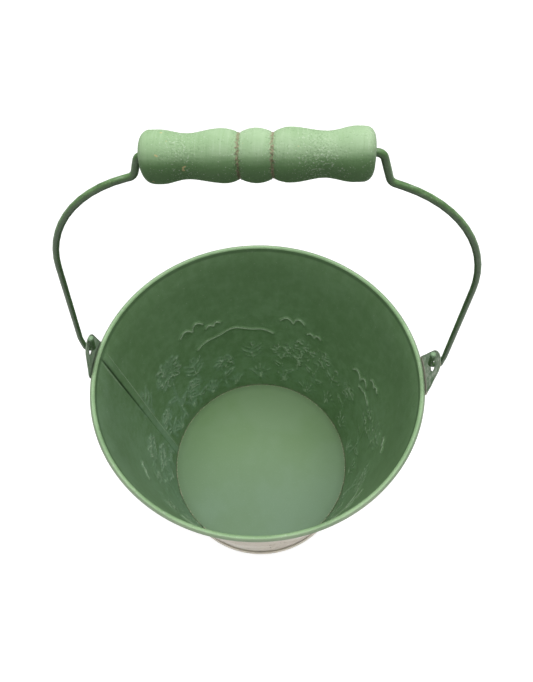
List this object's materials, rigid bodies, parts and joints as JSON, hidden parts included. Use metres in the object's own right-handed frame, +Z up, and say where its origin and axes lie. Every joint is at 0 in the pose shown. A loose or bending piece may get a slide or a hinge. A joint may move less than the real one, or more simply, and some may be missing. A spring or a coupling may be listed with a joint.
{
  "type": "painted metal pail",
  "caption": "Small tapered sheet-steel pail, painted and embossed, with a swinging wire bail and a turned wooden grip.",
  "frame": {"origin": "centre of the foot ring on the surface the pail stands on", "axes": "+Z up along the pail's axis, +X through the right ear along the bail's hinge line, +Y away from the viewer"},
  "size_m": [0.2098, 0.2, 0.3475],
  "materials": {
    "wall_paint": "satin green paint inside, washed cream paint outside",
    "rim_steel": "bare drawn wire",
    "floor_paint": "satin green paint",
    "ear_paint": "worn green paint with a pale wash",
    "bail_paint": "semi-gloss green paint",
    "grip_wood": "turned wood under worn light green paint"
  },
  "bodies": {
    "pail": {"pail_wall": "wall_paint", "rim_wire": "rim_steel", "base_disc": "floor_paint", "right_ear": "ear_paint", "left_ear": "ear_paint"},
    "bail": {"bail_wire": "bail_paint"},
    "grip": {"grip": "grip_wood"}
  },
  "joints": [
    {"name": "bail_swing", "type": "hinge", "parent": "pail", "child": "bail", "pos_m": [0, 0, 0.1998], "axis": [1, 0, 0], "range_deg": [-115, 115]},
    {"name": "grip_spin", "type": "hinge", "parent": "bail", "child": "grip", "pos_m": [0.0023, 0, 0.33627], "axis": [0.9984, 0, 0.0558], "continuous": true}
  ]
}
